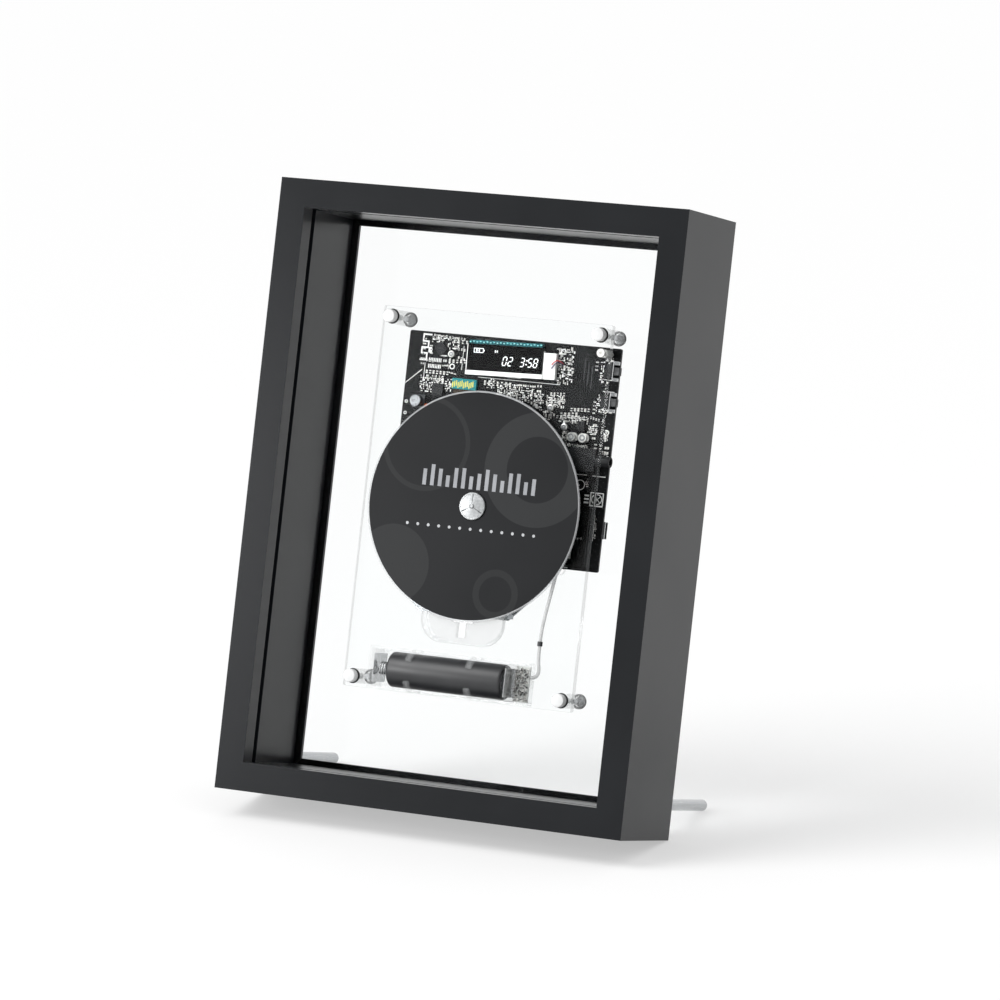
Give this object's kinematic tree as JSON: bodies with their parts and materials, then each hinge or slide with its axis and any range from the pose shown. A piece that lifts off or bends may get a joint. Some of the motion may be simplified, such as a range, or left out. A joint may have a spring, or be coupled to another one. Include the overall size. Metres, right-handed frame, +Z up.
{
  "type": "wall mounted cd player",
  "caption": "Disc player shown open behind glass-clear plates in a deep black picture frame, leaning back on two steel rods.",
  "frame": {"origin": "on the table, under the middle of the leaning player", "axes": "+X to the right seen from the front, +Y to the back, +Z up; the frame leans back 13.5 degrees"},
  "size_m": [0.23, 0.138, 0.3263],
  "materials": {
    "frame_black": "satin black lacquer on solid wood",
    "clear_acrylic": "clear cast acrylic",
    "clear_rod_acrylic": "clear acrylic rod",
    "grey_acrylic": "clear greyish acrylic",
    "holder_acrylic": "clear moulded plastic",
    "bright_steel": "plain steel",
    "plated_steel": "bright plated",
    "chassis_steel": "zinc plated sheet",
    "brass": "turned brass",
    "black_rubber": "matt black rubber",
    "board_black": "black solder mask",
    "white_nylon": "white nylon",
    "display_black": "black display glass",
    "diffuser_white": "white diffuser",
    "pin_teal": "teal pin seal",
    "chip_black": "epoxy chip",
    "tin_silver": "tinned",
    "can_aluminium": "aluminium can",
    "led_orange": "orange lamp",
    "film_gold": "polyimide film",
    "connector_teal": "teal connector",
    "parts_grey": "tinned ends and ceramic",
    "connector_white": "white nylon connector",
    "cell_black": "black shrink sleeve",
    "lead_grey": "pale grey PVC",
    "tie_grey": "dark collar",
    "motor_steel": "plated motor can",
    "turntable_black": "black moulded plastic",
    "hub_silver": "bright aluminium",
    "disc_print": "printed polycarbonate",
    "sled_grey": "moulded plastic",
    "holder_board_white": "pale board"
  },
  "bodies": {
    "frame": {"top_rail": "frame_black", "bottom_rail": "frame_black", "left_rail": "frame_black", "right_rail": "frame_black", "back_panel": "clear_acrylic", "hanger_plates": "bright_steel", "hanger_screws": "bright_steel", "rod_inserts": "brass", "left_stand_rod": "bright_steel", "right_stand_rod": "bright_steel", "mounting_plate": "clear_acrylic", "standoff_caps": "clear_rod_acrylic", "front_rings": "black_rubber", "standoff_barrels": "clear_rod_acrylic", "rear_rings": "black_rubber", "panel_screws": "bright_steel", "mechanism_cover": "grey_acrylic", "main_board": "board_black", "board_spacers": "white_nylon", "plate_screws": "white_nylon", "board_screws": "bright_steel", "display_glass": "display_black", "light_guide": "diffuser_white", "display_pins": "pin_teal", "wireless_chip": "chip_black", "decoder_chip": "chip_black", "power_chip": "chip_black", "inductors": "tin_silver", "can_capacitor": "can_aluminium", "indicator_led": "led_orange", "ribbon_connector": "connector_teal", "ribbon_cable": "film_gold", "small_parts": "parts_grey", "audio_jack": "chip_black", "charge_socket": "plated_steel", "battery_connector": "connector_white", "switch_bodies": "chip_black", "switch_brackets": "plated_steel", "battery_holder": "holder_acrylic", "battery_spring": "plated_steel", "battery_contacts": "plated_steel", "holder_board": "holder_board_white", "battery_cell": "cell_black", "battery_lead": "lead_grey", "lead_tie": "tie_grey", "chassis": "chassis_steel", "chassis_posts": "can_aluminium", "grommets": "black_rubber", "chassis_screws": "bright_steel", "spindle_motor": "motor_steel", "guide_rods": "plated_steel", "sled_motor": "motor_steel"},
    "turntable": {"turntable": "turntable_black", "turntable_pad": "black_rubber", "hub_cone": "hub_silver"},
    "disc": {"disc": "disc_print"},
    "sled": {"sled": "sled_grey"},
    "lead_screw": {"lead_screw": "plated_steel"},
    "power_plunger": {"power_plunger": "turntable_black"},
    "pair_plunger": {"pair_plunger": "turntable_black"}
  },
  "joints": [
    {"name": "turntable_spin", "type": "hinge", "parent": "frame", "child": "turntable", "pos_m": [0, -0.00243, 0.16375], "axis": [0, -0.9724, 0.2334], "continuous": true},
    {"name": "disc_lift", "type": "slide", "parent": "turntable", "child": "disc", "axis": [0, -0.9724, 0.2334], "range_m": [0, 0.04]},
    {"name": "sled_slide", "type": "slide", "parent": "frame", "child": "sled", "axis": [0, -0.2334, -0.9724], "range_m": [-0.002, 0.0325]},
    {"name": "lead_screw_spin", "type": "hinge", "parent": "frame", "child": "lead_screw", "pos_m": [-0.026, 0.00632, 0.13594], "axis": [0, -0.2334, -0.9724], "range_deg": [-400, 6000]},
    {"name": "power_press", "type": "slide", "parent": "frame", "child": "power_plunger", "axis": [-1, 0, 0], "range_m": [0, 0.0004], "stiffness_N_per_m": 2000},
    {"name": "pair_press", "type": "slide", "parent": "frame", "child": "pair_plunger", "axis": [-1, 0, 0], "range_m": [0, 0.0004], "stiffness_N_per_m": 2000}
  ],
  "couplings": [
    {"joint": "lead_screw_spin", "follows": "sled_slide", "rad_per_m": 3141.6}
  ]
}
